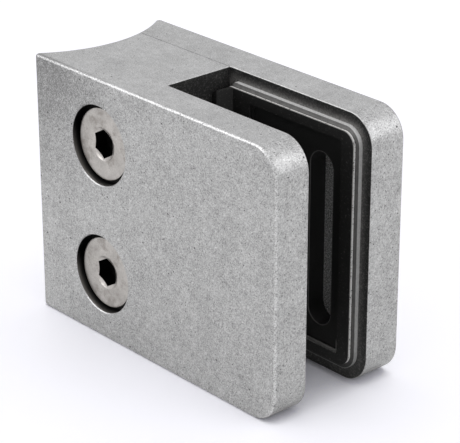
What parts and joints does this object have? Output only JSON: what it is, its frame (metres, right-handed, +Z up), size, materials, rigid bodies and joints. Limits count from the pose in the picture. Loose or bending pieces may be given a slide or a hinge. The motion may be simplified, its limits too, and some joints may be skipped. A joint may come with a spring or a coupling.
{
  "type": "glass panel clamp",
  "caption": "Die-cast glass panel clamp for a round post: saddle end, rubber-lined slot for the glass edge, cover plate drawn up by countersunk screws.",
  "frame": {"origin": "middle of the underside, on the surface that the clamp stands on", "axes": "+X from the post to the glass, +Y from the front jaw to the cover plate, +Z up"},
  "size_m": [0.0575, 0.0264, 0.045],
  "materials": {
    "zinc_casting": "raw die-cast zinc, matt and finely speckled",
    "screw_steel": "satin stainless steel",
    "pad_rubber": "matt black moulded rubber"
  },
  "bodies": {
    "front_casting": {"clamp_body": "zinc_casting", "front_pad": "pad_rubber"},
    "cover": {"cover_plate": "zinc_casting", "rear_pad": "pad_rubber"},
    "upper_screw": {"upper_screw": "screw_steel"},
    "lower_screw": {"lower_screw": "screw_steel"}
  },
  "joints": [
    {"name": "upper_screw_turn", "type": "hinge", "parent": "front_casting", "child": "upper_screw", "pos_m": [-0.01265, -0.01225, 0.03375], "axis": [0, -1, 0], "range_deg": [0, 1260]},
    {"name": "lower_screw_turn", "type": "hinge", "parent": "front_casting", "child": "lower_screw", "pos_m": [-0.01265, -0.01225, 0.01125], "axis": [0, -1, 0], "range_deg": [0, 1260]},
    {"name": "cover_travel", "type": "slide", "parent": "front_casting", "child": "cover", "axis": [0, 1, 0], "range_m": [0, 0.0035]}
  ],
  "couplings": [
    {"joint": "upper_screw_turn", "follows": "cover_travel", "rad_per_m": 6283.2},
    {"joint": "lower_screw_turn", "follows": "cover_travel", "rad_per_m": 6283.2}
  ]
}
